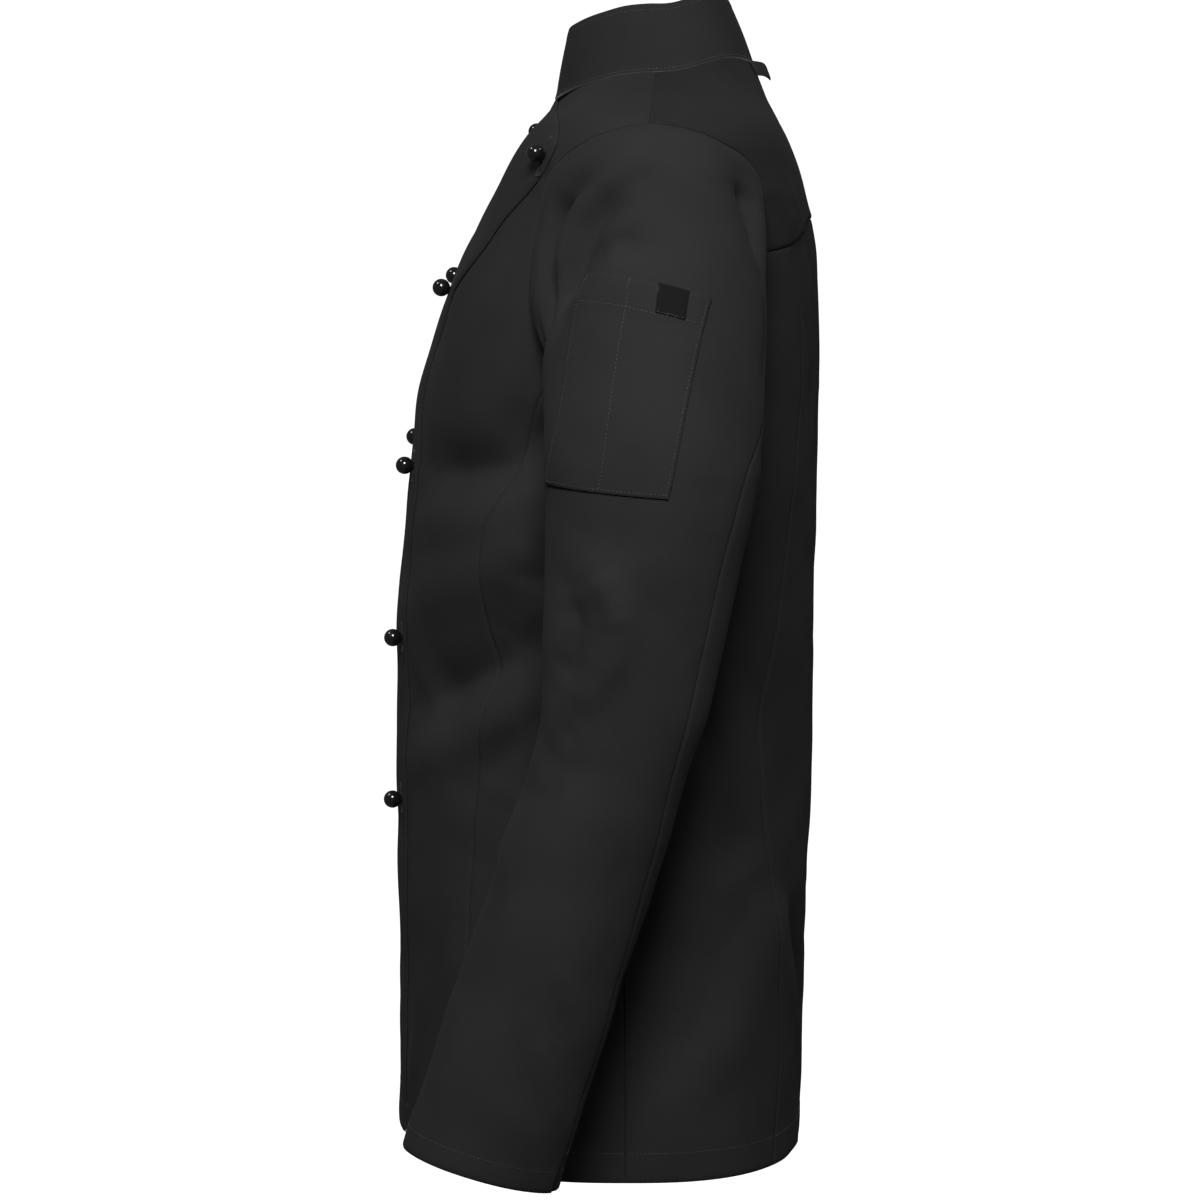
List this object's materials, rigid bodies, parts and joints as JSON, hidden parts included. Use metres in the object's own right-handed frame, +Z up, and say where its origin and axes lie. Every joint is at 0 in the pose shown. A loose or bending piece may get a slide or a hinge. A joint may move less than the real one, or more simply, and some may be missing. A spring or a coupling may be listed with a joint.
{
  "type": "chef jacket",
  "caption": "Long-sleeved double-breasted chef jacket with a stand collar, ball studs, a back yoke and a patch pocket on the upper left sleeve, held in its worn shape.",
  "frame": {"origin": "middle of the neck opening at the height of the side neck points, where the wearer's neck base sits", "axes": "+Z up along the body, -Y towards the front of the jacket, +X towards the wearer's left sleeve"},
  "size_m": [0.626, 0.2776, 0.7405],
  "materials": {
    "cloth": "matte black twill",
    "stud": "polished black"
  },
  "bodies": {
    "root": {"front_right": "cloth", "front_left": "cloth", "side_front_left": "cloth", "side_front_right": "cloth", "side_back_left": "cloth", "side_back_right": "cloth", "back_centre": "cloth", "yoke": "cloth", "collar": "cloth", "locker_loop": "cloth", "sleeve_left_top": "cloth", "sleeve_left_under": "cloth", "sleeve_right_top": "cloth", "sleeve_right_under": "cloth", "sleeve_pocket": "cloth", "pocket_label": "cloth", "stud_left_1": "stud", "stud_left_2": "stud", "stud_left_3": "stud", "stud_left_4": "stud", "stud_left_5": "stud", "stud_right_1": "stud", "stud_right_2": "stud", "stud_right_3": "stud", "stud_right_4": "stud", "stud_right_5": "stud"}
  },
  "joints": []
}
